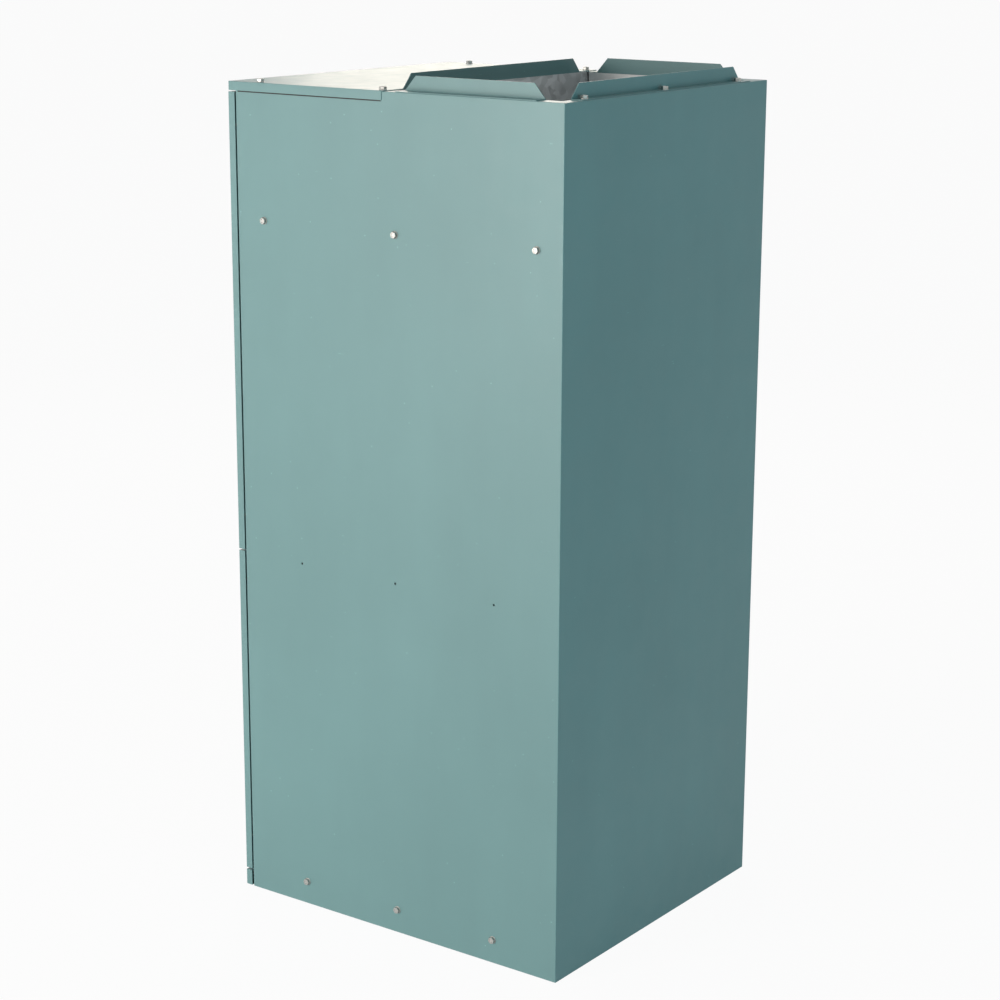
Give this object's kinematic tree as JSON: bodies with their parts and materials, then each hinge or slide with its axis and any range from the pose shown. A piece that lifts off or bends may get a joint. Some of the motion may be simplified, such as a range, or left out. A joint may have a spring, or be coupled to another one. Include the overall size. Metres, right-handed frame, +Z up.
{
  "type": "vertical ducted air conditioner",
  "caption": "Upright sheet-metal air handler with screwed service panels, a slide-out filter, leaning coil slabs over a drain pan, a scroll blower and a flanged duct opening on top.",
  "frame": {"origin": "on the floor plane under the middle of the cabinet, at the centre of the cabinet's footprint", "axes": "+Z up, the way the air leaves; -Y towards the service panels; +X towards the right side seen from the service side"},
  "size_m": [0.4932, 0.576, 1.17],
  "materials": {
    "cabinet_paint": "satin",
    "galvanised_sheet": "satin",
    "zinc_screws": "satin",
    "foil_liner": "satin",
    "coil_fins": "satin",
    "aluminium_parts": "satin",
    "copper_tube": "satin",
    "brass_valve": "satin",
    "pan_plastic": "matte",
    "motor_paint": "satin",
    "steel_shaft": "polished",
    "black_rubber": "matte",
    "board_green": "satin",
    "component_plastic": "matte",
    "filter_card": "matte",
    "filter_media_white": "matte"
  },
  "bodies": {
    "cabinet": {"cabinet_wrapper": "cabinet_paint", "top_cover": "cabinet_paint", "duct_flange_right": "cabinet_paint", "duct_flange_left": "cabinet_paint", "duct_flange_rear": "cabinet_paint", "coil_support_shelf": "galvanised_sheet", "filter_rails": "galvanised_sheet", "front_mid_rail": "galvanised_sheet", "front_top_rail": "galvanised_sheet", "blower_deck": "galvanised_sheet", "plenum_partition": "galvanised_sheet", "heater_blank_plate": "galvanised_sheet", "scroll_wrap": "galvanised_sheet", "scroll_side_left": "galvanised_sheet", "scroll_side_right": "galvanised_sheet", "motor_mount_band": "galvanised_sheet", "control_tray": "galvanised_sheet", "transformer": "galvanised_sheet", "capacitor_strap": "galvanised_sheet", "motor_bolts": "zinc_screws", "side_screws": "zinc_screws", "top_screws": "zinc_screws", "housing_screws": "zinc_screws", "coil_liner": "foil_liner", "blower_liner": "foil_liner", "plenum_liner": "foil_liner", "coil_slab_left": "coil_fins", "coil_slab_right": "coil_fins", "tube_sheets": "aluminium_parts", "coil_ridge_cap": "aluminium_parts", "end_baffles": "aluminium_parts", "run_capacitor": "aluminium_parts", "return_bends": "copper_tube", "suction_header": "copper_tube", "feeder_tubes": "copper_tube", "liquid_line": "copper_tube", "distributor": "brass_valve", "drain_pan": "pan_plastic", "motor_body": "motor_paint", "motor_grommets": "black_rubber", "motor_cable": "black_rubber", "relay_board": "board_green", "board_components": "component_plastic"},
    "blower_rotor": {"blower_wheel": "galvanised_sheet", "motor_shaft": "steel_shaft"},
    "upper_panel": {"upper_access_panel": "cabinet_paint", "upper_panel_liner": "foil_liner", "upper_panel_screws": "zinc_screws"},
    "lower_panel": {"lower_access_panel": "cabinet_paint", "lower_panel_liner": "foil_liner", "lower_panel_screws": "zinc_screws", "line_grommets": "black_rubber"},
    "door": {"filter_door": "cabinet_paint", "door_screws": "zinc_screws"},
    "filter": {"filter_frame": "filter_card", "filter_media": "filter_media_white"}
  },
  "joints": [
    {"name": "blower_spin", "type": "hinge", "parent": "cabinet", "child": "blower_rotor", "pos_m": [0, 0.0098, 0.7628], "axis": [1, 0, 0], "continuous": true},
    {"name": "upper_panel_off", "type": "slide", "parent": "cabinet", "child": "upper_panel", "axis": [0, -1, 0], "range_m": [0, 0.45]},
    {"name": "lower_panel_off", "type": "slide", "parent": "cabinet", "child": "lower_panel", "axis": [0, -1, 0], "range_m": [0, 0.45]},
    {"name": "filter_door_off", "type": "slide", "parent": "cabinet", "child": "door", "axis": [0, -1, 0], "range_m": [0, 0.6]},
    {"name": "filter_slide", "type": "slide", "parent": "cabinet", "child": "filter", "axis": [0, -1, 0], "range_m": [0, 0.54]}
  ],
  "couplings": [
    {"joint": "filter_slide", "follows": "filter_door_off", "ratio": 0.9}
  ]
}
